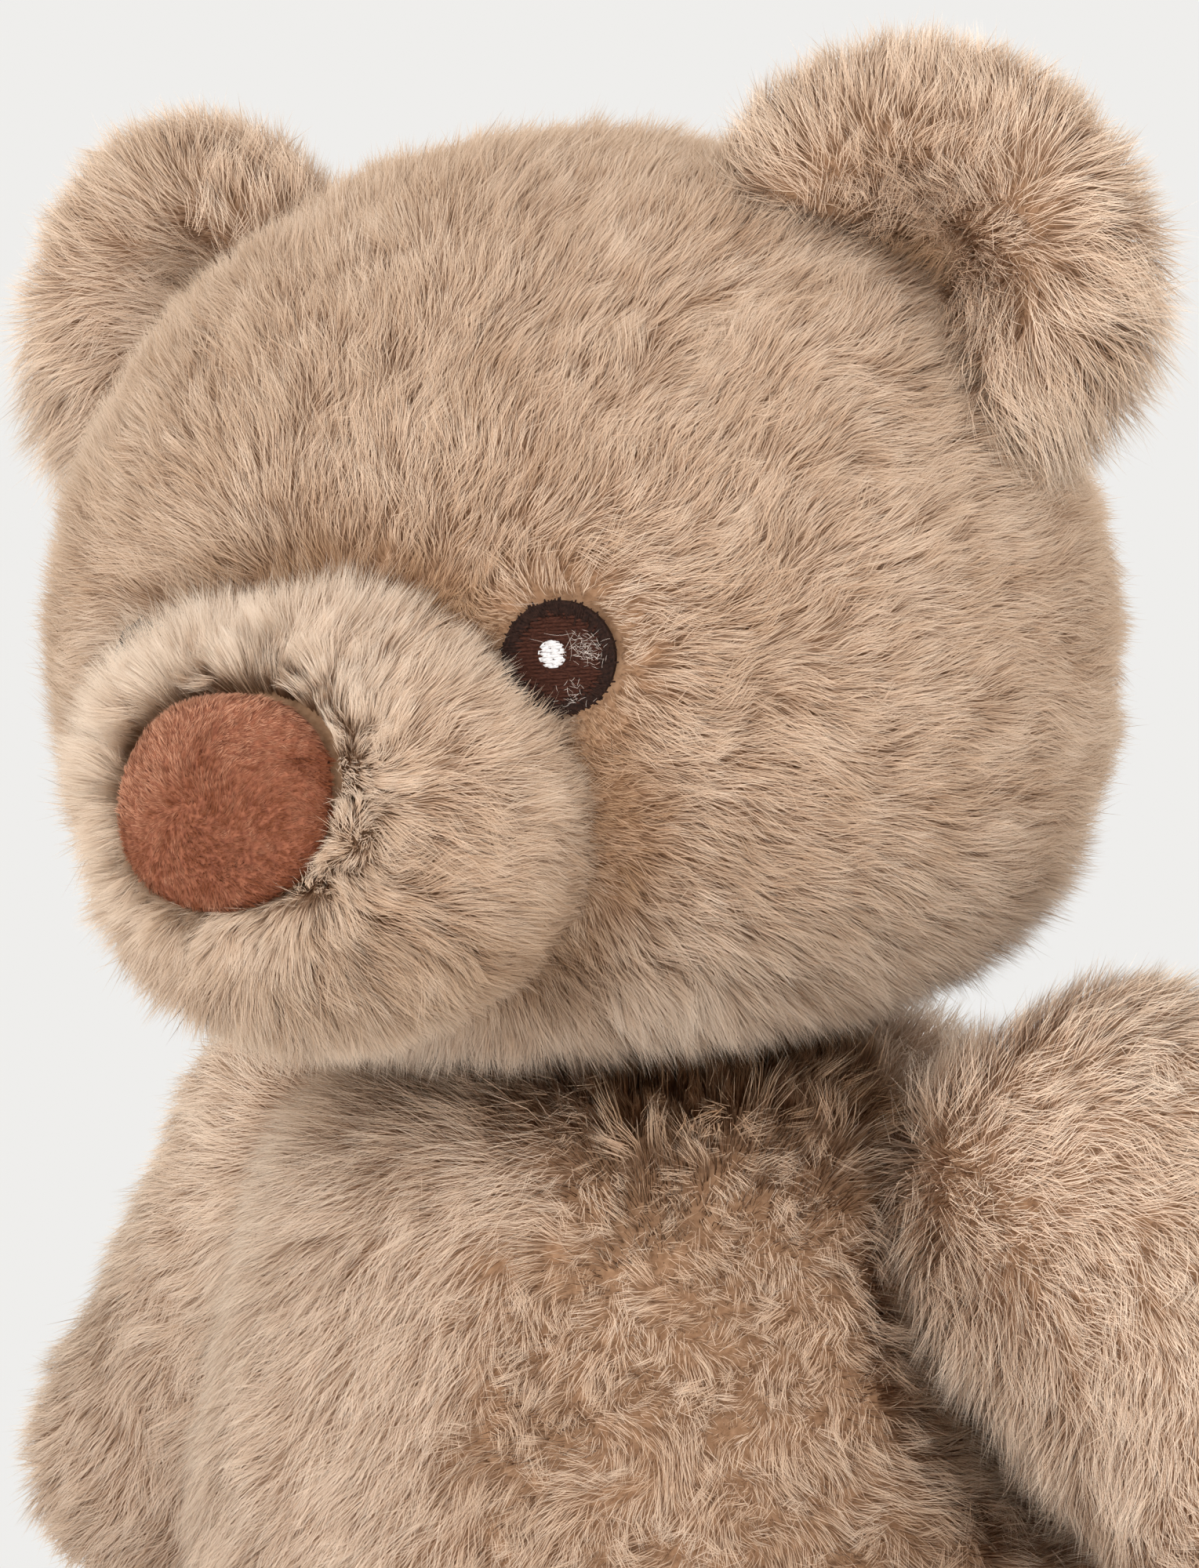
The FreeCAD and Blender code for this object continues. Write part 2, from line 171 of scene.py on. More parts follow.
def closed_ends(rings):
    """Rings with each end drawn in to a point."""
    rings = list(rings)
    for end in (0, -1):
        middle = rings[end].mean(0)
        extra = [middle + (rings[end] - middle) * k for k in (0.66, 0.33, 0.02)]
        rings = extra[::-1] + rings if end == 0 else rings + extra
    return np.array(rings)


def dish_wall(points, centre, profile):
    """Where the dish turned round a limb's axis puts the wall between torso and limb."""
    reach = np.hypot(points[..., 1] - centre[1], points[..., 2] - centre[2])
    return reach, np.interp(reach, *np.array(profile, float).T)


def dished_torso(grid):
    """The torso with a hollow at each limb."""
    x = grid[..., 0]
    for centre, profile in ((SHOULDER, ARM_DISH), (HIP, LEG_DISH)):
        rim = max(range(len(profile)), key=lambda k: profile[k][1])
        _, wall = dish_wall(grid, centre, profile[:rim + 1])
        x = np.clip(x, DISH_GAP - wall, wall - DISH_GAP)
    return np.stack([x, grid[..., 1], grid[..., 2]], -1)


def seated_limb(grid, centre, profile):
    """A left limb kept outside its hollow in the torso."""
    _, wall = dish_wall(grid, centre, profile)
    return np.stack([np.maximum(grid[..., 0], wall + DISH_GAP), grid[..., 1], grid[..., 2]], -1)


def off_joint(points, side, centre, profile):
    """False where two skins meet flat round a joint, so no pile grows there."""
    reach, wall = dish_wall(points, centre, profile)
    return (reach > BARE_RADIUS) | (np.abs(points[:, 0] * side - wall) > BARE_DEPTH)


def torso_grid(inset=SKIN_INSET):
    across, deep = superellipse(96, TORSO_POWER)
    rings = []
    for height, half, back in smooth_rows(TORSO_OUTLINE, 70):
        level = inset + height * (TORSO_TOP - 2 * inset) / TORSO_TOP
        rings.append(np.stack([
            across * (half - inset),
            back + deep * (half * TORSO_DEPTH - inset),
            np.full(len(across), level),
        ], 1))
    return dished_torso(closed_ends(rings))


HEAD_ROWS, HEAD_COLUMNS = 90, 128
LOWEST_RING, HIGHEST_RING = -82, 88.5  # degrees of latitude


def head_grid(inset=SKIN_INSET):
    rings = []
    angle = np.arange(HEAD_COLUMNS) * 2 * math.pi / HEAD_COLUMNS
    for degrees in np.linspace(LOWEST_RING, HIGHEST_RING, HEAD_ROWS):
        a = math.radians(degrees)
        power = JAW_POWER if degrees < 0 else 2.0
        reach = (JAW if degrees < 0 else CROWN) - inset
        wide = math.cos(a) ** (2 / power)
        level = math.copysign(abs(math.sin(a)) ** (2 / power), degrees) * reach
        rings.append(HEAD_CENTRE + np.stack([
            np.cos(angle) * (HEAD_HALF[0] - inset) * wide,
            np.sin(angle) * (HEAD_HALF[1] - inset) * wide,
            np.full(HEAD_COLUMNS, level - CHEEK_DROP),
        ], 1))
    return closed_ends(rings)


def ball_grid(centre, half, rows=60, columns=90):
    """An ellipsoid whose pole points along -Y."""
    rings = []
    angle = np.arange(columns) * 2 * math.pi / columns
    for a in np.linspace(0.02, math.pi - 0.02, rows):
        rings.append(centre + np.stack([
            half[0] * math.sin(a) * np.cos(angle),
            np.full(columns, -half[1] * math.cos(a)),
            -half[2] * math.sin(a) * np.sin(angle),
        ], 1))
    return np.array(rings)


def arm_frame():
    """The arm's downward and outward directions."""
    a = math.radians(ARM_LEAN)
    down = np.array([math.sin(a), 0.0, -math.cos(a)])
    return down, np.array([math.cos(a), 0.0, math.sin(a)])


def arm_middle(along):
    down, _ = arm_frame()
    forward = ARM_CURVE * max(along, 0) ** 2 / ARM_LENGTH**2
    return np.array([ARM_AXIS_X, SHOULDER[1] - forward, SHOULDER[2]]) + down * along


def arm_grid(inset=SKIN_INSET):
    _, across = arm_frame()
    c, s = superellipse(72, 2.0)
    rings = []
    rows = smooth_rows(ARM_SECTIONS, 56)
    first, last = rows[0][0], rows[-1][0]
    for place, radius in rows:
        along = first + inset + (place - first) * (last - first - 2 * inset) / (last - first)
        size = max(radius - inset, 1.0)
        rings.append(arm_middle(along) + np.outer(c * size, across)
                     + np.outer(s * size, [0, 1, 0]))
    return seated_limb(closed_ends(rings), SHOULDER, ARM_DISH)


def leg_frame():
    """The leg's forward and outward directions."""
    a = math.radians(LEG_SPLAY)
    return np.array([math.sin(a), -math.cos(a), 0.0]), np.array([math.cos(a), math.sin(a), 0.0])


def leg_grid(inset=SKIN_INSET):
    ahead, across = leg_frame()
    c, s = superellipse(72, 2.0)
    rows = smooth_rows(LEG_SECTIONS, 60)
    first, last = rows[0][0], rows[-1][0]
    rings = []
    for place, height, wide, high in rows:
        along = first + inset + (place - first) * (last - first - 2 * inset) / (last - first)
        middle = np.array([LEG_AXIS_X, 0, height]) + ahead * along
        rings.append(middle + np.outer(c * max(wide - inset, 1.0), across)
                     + np.outer(s * max(high - inset, 1.0), UP))
    return seated_limb(closed_ends(rings), HIP, LEG_DISH)


def ear_grid():
    """A cupped ear: dished front, rounded rim, bulging back. Its plane faces -Y before the splay."""
    columns = 72
    angle = np.arange(columns) * 2 * math.pi / columns
    rings = []
    half_x, thick, half_z = np.array(EAR_HALF) - EAR_INSET
    inward = smoothstep(0.1, 0.95, np.cos(angle - EAR_FOLD))
    for r in np.r_[np.linspace(0.02, 0.96, 22), 0.99]:
        dish = 1 - smoothstep(0.0, 0.72, np.array(r)) * (1 - inward)
        front = -thick * (1 - r**6) ** 0.5 * 0.8 + EAR_CUP * dish * (1 - r**8)
        rings.append((r, front))
    for r in np.r_[0.995, np.linspace(0.96, 0.02, 22)]:
        rings.append((r, thick * (1 - r**2.6) ** 0.5 + EAR_BULGE * (1 - r**2)))
    grid = []
    for r, y in rings:
        grid.append(np.stack([half_x * r * np.cos(angle), np.full(columns, y),
                              -half_z * r * np.sin(angle)], 1))
    grid = np.array(grid)
    a = math.radians(EAR_SPLAY)
    turn = np.array([[math.cos(a), -math.sin(a), 0], [math.sin(a), math.cos(a), 0], [0, 0, 1]])
    return EAR_AT + grid @ turn.T


def grid_normals(grid):
    du = np.gradient(grid, axis=0)
    dv = (np.roll(grid, -1, 1) - np.roll(grid, 1, 1)) / 2
    n = unit(np.cross(dv, du))
    middle = grid.reshape(-1, 3).mean(0)
    return n if np.mean(np.sum(n * (grid - middle), -1)) > 0 else -n


def mirror_grid(grid):
    return (grid * np.array([-1.0, 1.0, 1.0]))[:, ::-1]


def grid_area(grid):
    p00, p10 = grid[:-1], grid[1:]
    p01, p11 = np.roll(p00, -1, 1), np.roll(p10, -1, 1)
    return (np.linalg.norm(np.cross(p11 - p00, p10 - p01), axis=-1) / 2).sum()


def scatter(grid, count, rng, weight=None):
    """Points and outward normals spread evenly over a closed grid, or by a weight."""
    normals = grid_normals(grid)
    p00, p10 = grid[:-1], grid[1:]
    p01, p11 = np.roll(p00, -1, 1), np.roll(p10, -1, 1)
    area = np.linalg.norm(np.cross(p11 - p00, p10 - p01), axis=-1) / 2
    middle = (p00 + p10 + p01 + p11) / 4
    if weight is not None:
        area = area * weight(middle.reshape(-1, 3), normals[:-1].reshape(-1, 3)).reshape(area.shape)
    flat = area.ravel()
    pick = rng.choice(flat.size, count, p=flat / flat.sum())
    i, j = np.unravel_index(pick, area.shape)
    k = (j + 1) % grid.shape[1]
    u, v = rng.random(count)[:, None], rng.random(count)[:, None]
    mix = lambda a: ((a[i, j] * (1 - u) + a[i + 1, j] * u) * (1 - v)
                     + (a[i, k] * (1 - u) + a[i + 1, k] * u) * v)
    return mix(grid), unit(mix(normals))


# --- materials
def new_material(name, rough, spec):
    """A material with its node tree, its surface node and ways to add nodes and links."""
    m = bpy.data.materials.new(name)
    m.use_nodes = True
    tree = m.node_tree
    principled = tree.nodes["Principled BSDF"]
    principled.inputs["Roughness"].default_value = rough
    principled.inputs["Specular IOR Level"].default_value = spec
    return m, tree, principled, tree.nodes.new, tree.links.new


def ramp(tree, stops, factor):
    node = tree.nodes.new("ShaderNodeValToRGB")
    while len(node.color_ramp.elements) < len(stops):
        node.color_ramp.elements.new(0.5)
    for element, (place, colour) in zip(node.color_ramp.elements, stops):
        element.position = place
        element.color = (*colour, 1)
    tree.links.new(factor, node.inputs["Fac"])
    return node.outputs["Color"]


def cloth_material(name, dark, light, grain, rough=0.9, spec=0.2, bump=0.3, stretch=1.0):
    """Mottled colour and a fine grain of the given size in millimetres."""
    m, tree, principled, node, link = new_material(name, rough, spec)
    where = node("ShaderNodeTexCoord")
    scaled = node("ShaderNodeMapping")
    scaled.inputs["Scale"].default_value = (1, 1, stretch)
    link(where.outputs["Object"], scaled.inputs["Vector"])
    noise = node("ShaderNodeTexNoise")
    noise.inputs["Scale"].default_value = 1 / (grain * MM)
    noise.inputs["Detail"].default_value = 3
    link(scaled.outputs["Vector"], noise.inputs["Vector"])
    colour = ramp(tree, [(0.32, dark), (0.68, light)], noise.outputs["Fac"])
    link(colour, principled.inputs["Base Color"])
    dents = node("ShaderNodeBump")
    dents.inputs["Strength"].default_value = bump
    dents.inputs["Distance"].default_value = grain * MM * 0.4
    link(noise.outputs["Fac"], dents.inputs["Height"])
    link(dents.outputs["Normal"], principled.inputs["Normal"])
    return m


def fur_material(name, dark, light, glow=0.4):
    """Colour runs root to tip along V and dark to light strands along U. Light passes through."""
    m, tree, principled, node, link = new_material(name, 0.8, 0.05)
    uv = node("ShaderNodeUVMap")
    uv.uv_map = "OFBake"
    split = node("ShaderNodeSeparateXYZ")
    link(uv.outputs["UV"], split.inputs["Vector"])
    low = ramp(tree, dark, split.outputs["Y"])
    high = ramp(tree, light, split.outputs["Y"])
    mix = node("ShaderNodeMix")
    mix.data_type = "RGBA"
    link(split.outputs["X"], mix.inputs[0])
    link(low, mix.inputs[6])
    link(high, mix.inputs[7])
    colour = mix.outputs[2]
    link(colour, principled.inputs["Base Color"])
    through = node("ShaderNodeBsdfTranslucent")
    link(colour, through.inputs["Color"])
    both = node("ShaderNodeMixShader")
    both.inputs[0].default_value = glow
    link(principled.outputs[0], both.inputs[1])
    link(through.outputs[0], both.inputs[2])
    link(both.outputs[0], tree.nodes["Material Output"].inputs["Surface"])
    return m


# Palette, linear RGB. Each list runs root to tip.
PLUSH_DARK = [(0.0, (0.130, 0.056, 0.024)), (0.35, (0.26, 0.138, 0.070)),
              (0.7, (0.44, 0.272, 0.156)), (1.0, (0.60, 0.418, 0.272))]
PLUSH_LIGHT = [(0.0, (0.280, 0.155, 0.082)), (0.35, (0.54, 0.370, 0.255)),
               (0.7, (0.80, 0.645, 0.505)), (1.0, (0.93, 0.820, 0.695))]
NOSE_DARK = [(0.0, (0.055, 0.014, 0.006)), (0.5, (0.135, 0.039, 0.017)),
             (1.0, (0.225, 0.077, 0.036))]
NOSE_LIGHT = [(0.0, (0.16, 0.052, 0.026)), (0.5, (0.40, 0.175, 0.100)),
              (1.0, (0.66, 0.375, 0.250))]
PALE_DARK = [(0.0, (0.45, 0.36, 0.30)), (1.0, (0.62, 0.52, 0.45))]
PALE_LIGHT = [(0.0, (0.70, 0.60, 0.52)), (1.0, (0.85, 0.78, 0.72))]

plush_back = cloth_material("plush_backing", (0.22, 0.118, 0.062), (0.32, 0.190, 0.110), 0.9)
plush = fur_material("plush_pile", PLUSH_DARK, PLUSH_LIGHT)
nose_back = cloth_material("nose_backing", (0.11, 0.032, 0.016), (0.20, 0.070, 0.036), 0.7)
nose_nap = fur_material("nose_nap", NOSE_DARK, NOSE_LIGHT, 0.25)
worn_fibre = fur_material("worn_fibre", PALE_DARK, PALE_LIGHT, 0.3)
iris_thread = cloth_material("iris_thread", (0.017, 0.0062, 0.0042), (0.050, 0.0175, 0.0105), 0.35,
                             rough=0.7, spec=0.05, bump=0.5, stretch=3.0)
outline_thread = cloth_material("outline_thread", (0.0070, 0.0036, 0.0026),
                                (0.0200, 0.0090, 0.0062), 0.35, rough=0.7, spec=0.05, bump=0.5)
glint_thread = cloth_material("glint_thread", (0.30, 0.285, 0.28), (0.56, 0.535, 0.525), 0.3,
                              rough=0.5, spec=0.2, bump=0.4, stretch=3.0)
fibre_fill = cloth_material("fibre_fill", (0.66, 0.66, 0.64), (0.84, 0.84, 0.82), 2.5, bump=0.8)
moulded = cloth_material("moulded_plastic", (0.50, 0.49, 0.46), (0.58, 0.57, 0.54), 6.0,
                         rough=0.4, spec=0.5, bump=0.08)
CARRIED_OVER = {"stuffing": fibre_fill, "stud_disc": moulded, "lock_ring": moulded,
                "washer": moulded, "iris": iris_thread, "outline": outline_thread,
                "glint": glint_thread}
for node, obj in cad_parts.items():
    for ending, mat in CARRIED_OVER.items():
        if node.endswith(ending):
            obj.data.materials.clear()
            obj.data.materials.append(mat)


# --- meshes
def place(obj, body, slot):
    bpy.context.scene.collection.objects.link(obj)
    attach(obj, body)
    return obj


def skin(name, grid, body, slot, mat, replaced):
    """The closed backing cloth of a padded piece."""
    rows, columns = grid.shape[:2]
    index = np.arange(rows * columns).reshape(rows, columns)
    nxt = np.roll(index, -1, 1)
    quads = np.stack([index[:-1], nxt[:-1], nxt[1:], index[1:]], -1).reshape(-1, 4)
    a, b, c = (grid.reshape(-1, 3)[quads[:, k]] for k in (0, 1, 2))
    ends = [list(index[0])[::-1], list(index[-1])]
    if np.sum(np.cross(b - a, c - a) * grid_normals(grid)[:-1].reshape(-1, 3)) < 0:
        quads = quads[:, ::-1]
        ends = [e[::-1] for e in ends]
    mesh = bpy.data.meshes.new(name)
    verts = in_place(grid.reshape(-1, 3), body) * MM
    mesh.from_pydata(verts.tolist(), [], quads.tolist() + ends)
    mesh.shade_smooth()
    mesh.materials.append(mat)
    obj = place(bpy.data.objects.new(name, mesh), body, slot)
    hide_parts(*replaced)
    return obj


def ribbon_mesh(name, verts, pattern, starts, body, slot, mat, uv=None, normals=None):
    """Many copies of one small strip of faces. verts is copies x corners x 3."""
    count, per = verts.shape[:2]
    pattern, starts = np.array(pattern), np.array(starts)
    loops = (np.arange(count)[:, None] * per + pattern).ravel()
    begin = (np.arange(count)[:, None] * len(pattern) + starts).ravel()
    mesh = bpy.data.meshes.new(name)
    mesh.vertices.add(count * per)
    mesh.vertices.foreach_set("co", (in_place(verts, body) * MM).astype(np.float32).ravel())
    mesh.loops.add(len(loops))
    mesh.loops.foreach_set("vertex_index", loops.astype(np.int32))
    mesh.polygons.add(len(begin))
    mesh.polygons.foreach_set("loop_start", begin.astype(np.int32))
    mesh.update(calc_edges=True)
    if uv is not None:
        layer = mesh.uv_layers.new(name="OFBake")
        layer.data.foreach_set("uv", uv[:, pattern].astype(np.float32).ravel())
    if normals is None:
        mesh.shade_smooth()
    else:
        turned = heading_in_place(normals, body).reshape(-1, 3)
        mesh.normals_split_custom_set_from_vertices(turned.astype(np.float32))
    mesh.materials.append(mat)
    return place(bpy.data.objects.new(name, mesh), body, slot)


def strand_mesh(name, points, sides, normals, widths, tone, body, slot, mat):
    """Tapered ribbons. points is strands x rings x 3; the last ring is the tip."""
    count, rings = points.shape[:2]
    left = points[:, :-1] - sides[:, :-1] * widths[:, :-1, None]
    right = points[:, :-1] + sides[:, :-1] * widths[:, :-1, None]
    pairs = np.stack([left, right], 2).reshape(count, -1, 3)
    verts = np.concatenate([pairs, points[:, -1:]], 1)
    per = verts.shape[1]
    pattern, starts = [], []
    for k in range(rings - 2):
        starts.append(len(pattern))
        pattern += [2 * k, 2 * k + 1, 2 * k + 3, 2 * k + 2]
    starts.append(len(pattern))
    pattern += [per - 3, per - 2, per - 1]
    up = np.linspace(0, 1, rings)
    v = np.r_[np.repeat(up[:-1], 2), 1.0]
    wide = np.r_[np.tile([-0.01, 0.01], rings - 1), 0.0]
    uv = np.stack([np.clip(tone, 0.015, 0.985)[:, None] + wide[None],
                   np.repeat(v[None] * 0.98 + 0.01, count, 0)], -1)
    spread = np.r_[np.tile([-0.25, 0.25], rings - 1), 0.0]
    ring_of = np.r_[np.repeat(np.arange(rings - 1), 2), rings - 1]
    shading = unit(normals[:, None] + sides[:, ring_of] * spread[None, :, None])
    return ribbon_mesh(name, verts, pattern, starts, body, slot, mat, uv, shading)


BIG_TURN = Field(11, 17.0)
MID_TURN = Field(12, 6.5)
TONE_FIELD = Field(13, 9.0)
LIFT_FIELD = Field(14, 8.0)
FINE_FIELD = Field(15, 2.6, 3)

# How strands differ from one another. Lift and bend are in degrees.
STRAND_RINGS, STRAND_WIDTH, ROOT_DEPTH = 3, 0.07, 0.3
RING_WIDTHS = np.array([[1.0, 0.85, 0.0]])
LIFT_DRIFT, LIFT_JITTER, BEND = 7, 10, 24
LENGTH_JITTER, SHORTEST, LONGEST = 0.13, 0.55, 1.35
WANDER, WANDER_SHARE = 0.4, 0.6
LOOSE_STRANDS, LOOSE_PULL = 0.2, 0.2
FACING_JITTER, SHADING_JITTER, TONE_JITTER = 0.7, 0.12, 0.06
TUFT_GROWTH = 1.2  # above 1, the pull of a tuft gathers toward the tips


def tuft_leaders(roots, centres):
    """For each strand, the number of the nearest of the chosen centre strands."""
    tree = KDTree(len(centres))
    for i, c in enumerate(roots[centres].tolist()):
        tree.insert(c, i)
    tree.balance()
    return np.array([tree.find(r)[1] for r in roots.tolist()])


def grow(name, roots, normals, comb, body, slot, mat, seed, density, length=10.0, lift=30.0,
         width=STRAND_WIDTH, swirl=(0.30, 0.32, 0.42), tufts=((1.4, 0.45), (3.6, 0.28)), tone=0.5,
         curl=0.5, spread=0.42, hold=1.0, level_light=0.0):
    """Pile standing on roots and lying along comb, drawn together in small and large tufts.
    swirl is how far the lie turns in large patches, small patches and single strands. tufts
    are pairs of spacing and pull, and density is strands per square millimetre. level_light
    turns the shading of surfaces that face up toward the sides."""
    rng = np.random.default_rng(seed)
    count, rings = len(roots), STRAND_RINGS
    angle = (BIG_TURN.at(roots)[:, 0] * swirl[0] + MID_TURN.at(roots)[:, 0] * swirl[1]
             + rng.normal(size=count) * swirl[2])
    lie = turn_about(along_surface(comb, normals), normals, angle)
    rise = np.radians(lift + LIFT_FIELD.at(roots)[:, 0] * LIFT_DRIFT
                      + rng.normal(size=count) * LIFT_JITTER)
    size = length * (1 + LENGTH_JITTER * rng.normal(size=count)).clip(SHORTEST, LONGEST)
    step = size / (rings - 1)
    wander = (FINE_FIELD.at(roots) * np.reshape(curl, (-1, 1))
              + rng.normal(size=(count, 3)) * WANDER)
    points = np.empty((count, rings, 3))
    points[:, 0] = roots - normals * ROOT_DEPTH
    before = None
    for k in range(rings):
        share = k / (rings - 1)
        a = np.clip(rise + math.radians(BEND) * (1 - 2 * share), 0.02, 1.5)[:, None]
        heading = lie * np.cos(a) + normals * np.sin(a) + wander * share**2 * WANDER_SHARE
        if k:
            points[:, k] = points[:, k - 1] + unit(heading + before) * step[:, None]
        before = heading
    shade = np.zeros(count)
    loose = np.where(rng.random(count) < LOOSE_STRANDS, LOOSE_PULL, 1.0)
    for spacing, strength in tufts:
        number = min(count, max(4, int(count / (density * spacing**2))))
        centres = rng.choice(count, number, replace=False)
        near = tuft_leaders(roots, centres)
        leader = centres[near]
        amount = strength * hold * loose * (0.6 + 0.8 * rng.random(number))[near]
        for k in range(1, rings):
            share = (k / (rings - 1)) ** TUFT_GROWTH
            target = points[leader, k] + (roots - roots[leader]) * spread
            points[:, k] += (target - points[:, k]) * np.clip(amount * share, 0, 0.95)[:, None]
        shade += rng.normal(size=number)[near] * TONE_JITTER
    heading = np.gradient(points, axis=1)
    facing = turn_about(normals, unit(heading[:, 0]), rng.normal(size=count) * FACING_JITTER)
    sides = unit(np.cross(heading, facing[:, None]))
    widths = (width * (0.75 + 0.5 * rng.random(count)))[:, None] * RING_WIDTHS
    flat = np.array([1, 1, 1 - level_light])
    shading = unit(normals * flat + rng.normal(size=(count, 3)) * SHADING_JITTER)
    level = (tone + TONE_FIELD.at(roots)[:, 0] * TONE_JITTER + shade
             + rng.normal(size=count) * TONE_JITTER)
    return strand_mesh(name, points, sides, shading, widths, level, body, slot, mat)


def pile(name, grid, count, seed, direction, body, slot, mat, weight=None, keep=None, parts=1,
         **style):
    """Scatters roots on a skin and grows pile there, in one or more pieces. A style value may be
    a function of the roots and normals."""
    rng = np.random.default_rng(seed)
    points, normals = scatter(grid, count, rng, weight)
    if keep is not None:
        mask = keep(points, normals)
        points, normals = points[mask], normals[mask]
    comb = direction(points, normals)
    style = {k: (v(points, normals) if callable(v) else v) for k, v in style.items()}
    density = len(points) / grid_area(grid)
    order = np.argsort(points[:, 2]) if parts > 1 else np.arange(len(points))
    for number, chosen in enumerate(np.array_split(order, parts)):
        label = name if parts == 1 else f"{name}_{number + 1}"
        own = {k: (v[chosen] if isinstance(v, np.ndarray) else v) for k, v in style.items()}
        grow(label, points[chosen], normals[chosen], comb[chosen], body, slot, mat,
             seed + 50 + number, density, **own)


def stitches(name, starts, ends, normals, radius, height, body, slot, mat):
    """Raised threads from starts to ends that dive into the cloth at both ends."""
    run = ends - starts
    sides = unit(np.cross(normals, run))
    rings = []
    for share, rise, wide in ((0.0, -0.8, 0.5), (0.16, 0.55, 0.9), (0.5, 1.0, 1.0),
                              (0.84, 0.55, 0.9), (1.0, -0.8, 0.5)):
        middle = starts + run * share + normals * height * rise
        rings.append([middle - sides * radius * wide - normals * radius * 0.9,
                      middle, middle + sides * radius * wide - normals * radius * 0.9])
    verts = np.stack([p for ring in rings for p in ring], 1)
    pattern = []
    for k in range(len(rings) - 1):
        for j in (0, 1):
            a = 3 * k + j
            pattern += [a, a + 1, a + 4, a + 3]
    return ribbon_mesh(name, verts, pattern, range(0, len(pattern), 4), body, slot, mat)


# --- how the pile is combed
def eye_frame(side):
    """Middle of an eye on the head's CAD surface, and its rightward, upward and outward axes."""
    share = EYE_SIDE / HEAD_HALF[0]
    front = -HEAD_HALF[1] * math.sqrt(1 - share**2)
    middle = HEAD_CENTRE + np.array([side * EYE_SIDE, front, -EYE_DROP])
    outward = unit(np.array([side * EYE_SIDE / HEAD_HALF[0]**2, front / HEAD_HALF[1]**2, 0.0]))
    return middle, np.cross(UP, outward), UP, outward


def away_from(centre):
    return lambda p, n: along_surface(unit(p - np.array(centre, float)), n)


def toward(direction):
    return lambda p, n: along_surface(np.array(direction, float)[None], n)


FACE_CROWN = MUZZLE_AT + np.array([0.0, 4.0, 6.0])  # the face's pile runs out from here


def head_comb(p, n):
    """Out from the muzzle over the face, away from the eyes, and down over the back."""
    back = smoothstep(-10, 40, p[:, 1])[:, None]
    top = smoothstep(225, 262, p[:, 2])[:, None]
    comb = (unit(p - FACE_CROWN) * (1 - back) + np.array([0.0, 0.15, -1.0]) * back
            + np.array([0.0, 0.6, 0.0]) * top)
    for side in (1, -1):
        middle = eye_frame(side)[0]
        near = 1 - smoothstep(8, 17, np.linalg.norm(p - middle, axis=1))[:, None]
        comb = comb * (1 - near) + unit(p - middle) * near
    return along_surface(comb, n)


def from_eyes(p):
    """Distance of each point from the nearer eye's axis."""
    far = []
    for side in (1, -1):
        middle, _, _, outward = eye_frame(side)
        d = p - middle
        off = np.linalg.norm(d - np.outer(d @ outward, outward), axis=1)
        far.append(np.where(p[:, 1] < HEAD_CENTRE[1], off, 99.0))
    return np.minimum(*far)


def head_keep(p, n):
    """False inside the muzzle and under the stitched eyes."""
    inside = np.linalg.norm((p - MUZZLE_AT) / (MUZZLE_HALF - 8), axis=1) < 1
    return ~inside & (from_eyes(p) > EYE_RADIUS + 0.1)


def by_muzzle(p):
    """1 in the crease round the muzzle, 0 a little way out over the face."""
    reach = np.linalg.norm((p - MUZZLE_AT) / MUZZLE_HALF, axis=1)
    return 1 - smoothstep(1.0, 1.3, reach)


def by_eye(p):
    """1 at the edge of an eye, 0 from 5 mm out."""
    return 1 - smoothstep(EYE_RADIUS, EYE_RADIUS + 5, from_eyes(p))


def under(n):
    """1 where a surface faces down, as under the chin."""
    return smoothstep(0.35, 0.9, -n[:, 2])


def head_length(p, n):
    return HEAD_PILE * (1 - 0.5 * by_eye(p)) * (1 - 0.5 * by_muzzle(p)) + 2.5 * under(n)


def head_lift(p, n):
    return HEAD_LIFT + 26 * by_eye(p) + 22 * under(n)


def head_tone(p, n):
    # Painted shade darkens the pile in the crease round the muzzle; painted light makes the pile
    # under the chin paler.
    return 0.50 - 0.45 * by_muzzle(p) + 0.28 * under(n)


# --- torso and head
torso = torso_grid()
skin("torso_plush", torso, "torso", "plush_fur", plush_back, ["torso_cover"])


def torso_keep(p, n):
    kept = np.ones(len(p), bool)
    for side in (1, -1):
        kept &= off_joint(p, side, SHOULDER, ARM_DISH) & off_joint(p, side, HIP, LEG_DISH)
    return kept


def ruffled(p, n):
    """1 where the torso's pile is brushed up on its left front, 0 where it lies smooth."""
    way = np.degrees(np.arctan2(p[:, 0], -p[:, 1])) + TONE_FIELD.at(p * 0.5)[:, 0] * 9
    return smoothstep(14, 34, way) * (1 - smoothstep(95, 125, way))


ARMHOLE_TOP, ARMHOLE_OUT, ARMHOLE_SLOPE, DIAGONAL = 136, 23, 0.41, 0.7071


def armhole(p):
    """Distance past the line where the torso's front turns into its shoulder, under the arm."""
    outward = (np.abs(p[:, 0]) + p[:, 1]) * DIAGONAL
    return outward - ARMHOLE_OUT - ARMHOLE_SLOPE * (ARMHOLE_TOP - p[:, 2])


def shoulder_share(p):
    """1 on the torso's shoulders, outside the armholes."""
    return smoothstep(0.0, 5.0, armhole(p)) * smoothstep(84, 100, p[:, 2])


def under_arm(p):
    """1 on the torso's side below the armhole, where the arm's shadow falls."""
    return smoothstep(-14, -2, armhole(p)) * (1 - smoothstep(88, 104, p[:, 2]))


